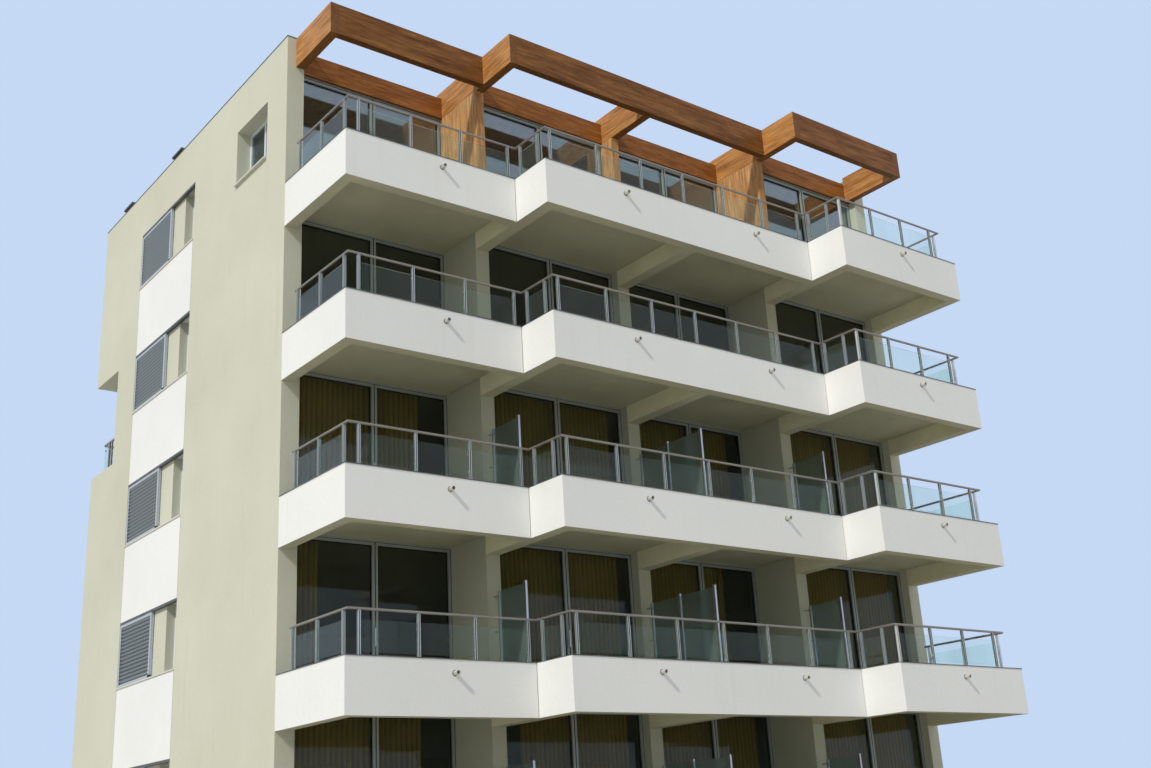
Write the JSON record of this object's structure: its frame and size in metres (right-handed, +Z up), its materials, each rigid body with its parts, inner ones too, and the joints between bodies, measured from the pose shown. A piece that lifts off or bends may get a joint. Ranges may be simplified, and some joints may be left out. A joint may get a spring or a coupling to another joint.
{
  "type": "apartment block",
  "caption": "Apartment block with a stepped front, tray balconies with glass railings, louvred slot windows in the end walls and a timber frame over the roof terrace.",
  "frame": {"origin": "on the ground, under the middle of the plan box", "axes": "+X along the front to the right seen from outside, +Y from the balconies to the rear wall, +Z up"},
  "size_m": [14.48, 14.51, 17.43],
  "materials": {
    "alu_frame": "anodised",
    "concrete": "plain concrete",
    "coping_metal": "satin grey",
    "curtain_cloth": "pleated, ochre",
    "door_glass": "dark, reflecting",
    "frosted_glass": "frosted",
    "plaster_beige": "painted smooth render",
    "rail_glass": "clear, slightly green",
    "render_white": "painted smooth render",
    "shutter_metal": "satin blue grey",
    "steel": "brushed",
    "timber": "varnished",
    "vent_metal": "matt dark"
  },
  "bodies": {
    "root": {"balcony_0": "render_white", "balcony_1": "render_white", "balcony_2": "render_white", "balcony_3": "render_white", "balcony_4": "render_white", "base_slab": "concrete", "curtain_tracks": "alu_frame", "curtains": "curtain_cloth", "door_frames": "alu_frame", "door_glass": "door_glass", "drain_spouts": "steel", "floor_slabs": "concrete", "handrails": "steel", "infill_panels": "render_white", "left_end_wall": "plaster_beige", "loggia_railing": "steel", "loggia_walls": "plaster_beige", "louvre_shutters": "shutter_metal", "parapet_copings": "coping_metal", "piers": "plaster_beige", "plinth_walls": "plaster_beige", "railing_glass": "rail_glass", "railing_posts_0": "steel", "railing_posts_1": "steel", "railing_posts_2": "steel", "railing_posts_3": "steel", "railing_posts_4": "steel", "rear_wall": "plaster_beige", "right_end_wall": "plaster_beige", "roof_fascia": "timber", "roof_slab": "concrete", "roof_vents": "vent_metal", "screen_glass": "frosted_glass", "screen_posts": "steel", "shutter_tracks": "alu_frame", "slot_backs": "plaster_beige", "small_frames": "alu_frame", "small_glass": "door_glass", "timber_cross_beams": "timber", "timber_front_beams": "timber", "timber_piers": "timber", "wall_cappings": "coping_metal", "window_sills": "coping_metal"}
  },
  "joints": []
}
